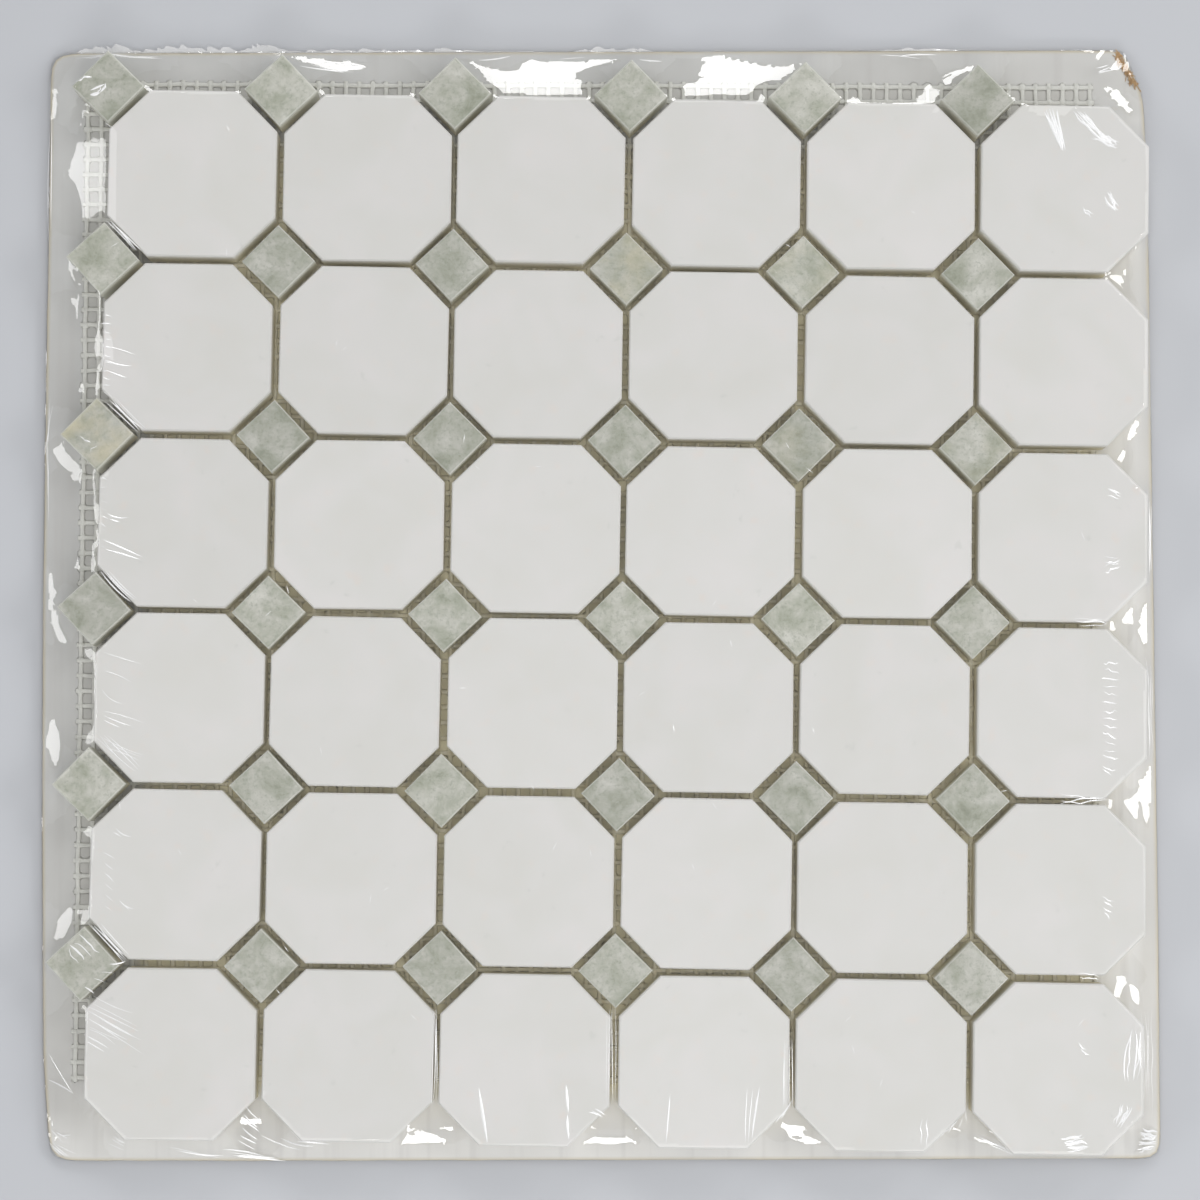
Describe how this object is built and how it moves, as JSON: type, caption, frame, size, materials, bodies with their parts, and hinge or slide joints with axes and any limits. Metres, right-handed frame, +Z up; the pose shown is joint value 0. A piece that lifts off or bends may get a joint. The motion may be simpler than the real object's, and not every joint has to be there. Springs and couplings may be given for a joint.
{
  "type": "mosaic tile sheet",
  "caption": "Square sheet of white stone octagon tiles with small square dots on a glass fibre mesh, laid on a card board and sealed in clear shrink film.",
  "frame": {"origin": "under the middle of the card board, on the face that the packed sheet lies on", "axes": "+X to the right edge and +Y to the top edge as the sheet is seen from its tile faces, +Z up out of the tile faces"},
  "size_m": [0.3242, 0.3242, 0.0132],
  "materials": {
    "white_marble": "polished",
    "green_marble": "polished",
    "glass_fibre_mesh": "coated",
    "card": "matte",
    "clear_film": "gloss"
  },
  "bodies": {
    "root": {"backing_board": "card", "mesh_crosswise_strands": "glass_fibre_mesh", "mesh_lengthwise_strands": "glass_fibre_mesh", "octagon_r1_c1": "white_marble", "octagon_r1_c2": "white_marble", "octagon_r1_c3": "white_marble", "octagon_r1_c4": "white_marble", "octagon_r1_c5": "white_marble", "octagon_r1_c6": "white_marble", "octagon_r2_c1": "white_marble", "octagon_r2_c2": "white_marble", "octagon_r2_c3": "white_marble", "octagon_r2_c4": "white_marble", "octagon_r2_c5": "white_marble", "octagon_r2_c6": "white_marble", "octagon_r3_c1": "white_marble", "octagon_r3_c2": "white_marble", "octagon_r3_c3": "white_marble", "octagon_r3_c4": "white_marble", "octagon_r3_c5": "white_marble", "octagon_r3_c6": "white_marble", "octagon_r4_c1": "white_marble", "octagon_r4_c2": "white_marble", "octagon_r4_c3": "white_marble", "octagon_r4_c4": "white_marble", "octagon_r4_c5": "white_marble", "octagon_r4_c6": "white_marble", "octagon_r5_c1": "white_marble", "octagon_r5_c2": "white_marble", "octagon_r5_c3": "white_marble", "octagon_r5_c4": "white_marble", "octagon_r5_c5": "white_marble", "octagon_r5_c6": "white_marble", "octagon_r6_c1": "white_marble", "octagon_r6_c2": "white_marble", "octagon_r6_c3": "white_marble", "octagon_r6_c4": "white_marble", "octagon_r6_c5": "white_marble", "octagon_r6_c6": "white_marble", "dots_row_1": "green_marble", "dots_row_2": "green_marble", "dots_row_3": "green_marble", "dots_row_4": "green_marble", "dots_row_5": "green_marble", "dots_row_6": "green_marble", "shrink_film": "clear_film"}
  },
  "joints": []
}
